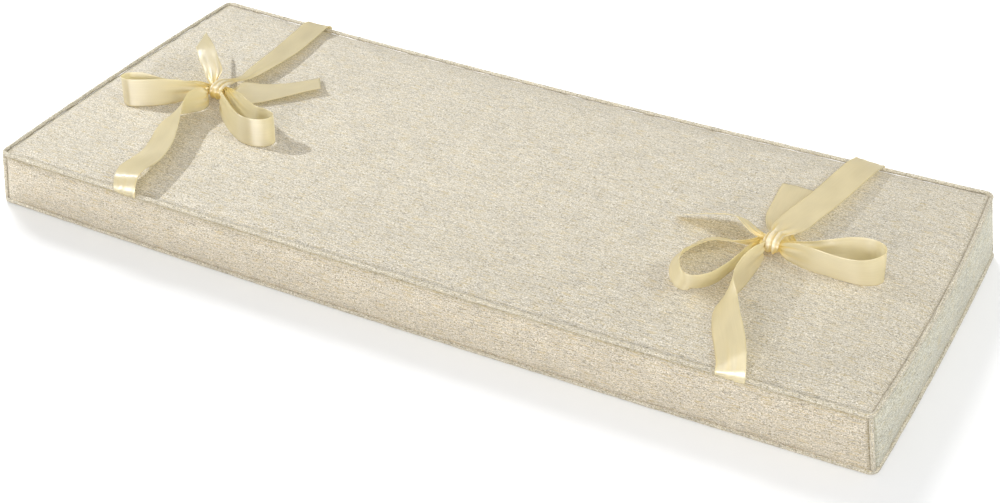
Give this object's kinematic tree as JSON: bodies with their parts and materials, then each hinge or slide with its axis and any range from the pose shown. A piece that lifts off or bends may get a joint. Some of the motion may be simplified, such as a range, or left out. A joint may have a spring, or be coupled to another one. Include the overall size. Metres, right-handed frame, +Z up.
{
  "type": "bench cushion",
  "caption": "Long box-edged bench cushion with corded seams and satin ribbon ties knotted in bows across its top.",
  "frame": {"origin": "middle of the underside that the cushion rests on", "axes": "+X along the cushion's length to the right, +Y to its back edge, +Z up out of its top panel"},
  "size_m": [1.1299, 0.4822, 0.1201],
  "materials": {
    "cushion_body": "heathered woven cloth, matte",
    "welt_top": "covered cord in the cushion's cloth",
    "welt_bottom": "covered cord in the cushion's cloth",
    "welt_front_left": "covered cord in the cushion's cloth",
    "welt_front_right": "covered cord in the cushion's cloth",
    "welt_back_left": "covered cord in the cushion's cloth",
    "welt_back_right": "covered cord in the cushion's cloth",
    "left_front_tie": "pale yellow satin",
    "left_back_tie": "pale yellow satin",
    "right_front_tie": "pale yellow satin",
    "right_back_tie": "pale yellow satin"
  },
  "bodies": {
    "root": {"cushion_body": "cushion_body", "welt_top": "welt_top", "welt_bottom": "welt_bottom", "welt_front_left": "welt_front_left", "welt_front_right": "welt_front_right", "welt_back_left": "welt_back_left", "welt_back_right": "welt_back_right", "left_front_tie": "left_front_tie", "left_back_tie": "left_back_tie", "right_front_tie": "right_front_tie", "right_back_tie": "right_back_tie"}
  },
  "joints": []
}
